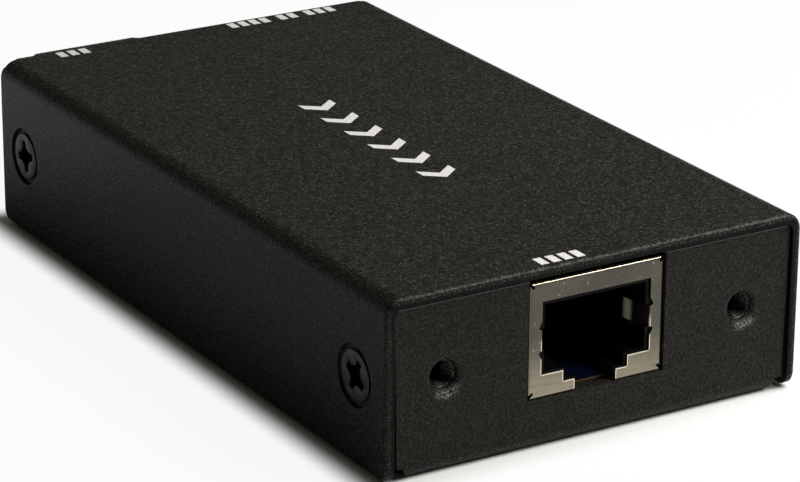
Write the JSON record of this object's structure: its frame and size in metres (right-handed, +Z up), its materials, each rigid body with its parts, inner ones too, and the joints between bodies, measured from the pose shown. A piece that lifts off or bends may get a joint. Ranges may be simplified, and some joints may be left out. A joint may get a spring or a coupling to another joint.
{
  "type": "kvm dongle",
  "caption": "Folded steel interface box with a shielded network jack between tapped jackscrew holes, and data and video sockets behind.",
  "frame": {"origin": "middle of the case's footprint on its standing face", "axes": "+X to the right and +Y to the rear seen from the network jack, +Z up through the cover"},
  "size_m": [0.0494, 0.0864, 0.0195],
  "materials": {
    "cover_coat": "fine textured black powder coat",
    "tray_coat": "fine textured black powder coat",
    "black_screw": "black oxide steel",
    "plated_shield": "nickel plated spring sheet",
    "black_moulding": "black glass-filled moulding",
    "gold_contact": "gold flashed contact",
    "board_mask": "green solder mask over glass epoxy",
    "zinc_steel": "zinc plated steel",
    "chip_package": "moulded epoxy package",
    "white_moulding": "natural nylon moulding",
    "crystal_can": "drawn steel can",
    "ferrite": "sintered ferrite",
    "capacitor_can": "drawn aluminium"
  },
  "bodies": {
    "root": {"top_cover": "cover_coat", "base_tray": "tray_coat", "cover_screw_1": "black_screw", "cover_screw_2": "black_screw", "cover_screw_3": "black_screw", "cover_screw_4": "black_screw", "standoff_1": "zinc_steel", "board_screw_1": "zinc_steel", "standoff_2": "zinc_steel", "board_screw_2": "zinc_steel", "standoff_3": "zinc_steel", "board_screw_3": "zinc_steel", "standoff_4": "zinc_steel", "board_screw_4": "zinc_steel", "circuit_board": "board_mask", "network_jack_shield": "plated_shield", "network_jack_housing": "black_moulding", "network_jack_contacts": "gold_contact", "data_socket_shell": "plated_shield", "data_socket_insert": "white_moulding", "data_socket_contacts": "gold_contact", "video_socket_shell": "plated_shield", "video_socket_insert": "black_moulding", "video_socket_contacts": "gold_contact", "line_transformer": "chip_package", "main_processor": "chip_package", "video_receiver": "chip_package", "line_equaliser": "chip_package", "memory_chip": "chip_package", "crystal_can": "crystal_can", "power_inductor": "ferrite", "voltage_regulator": "chip_package", "input_capacitor": "capacitor_can", "output_capacitor": "capacitor_can"}
  },
  "joints": []
}
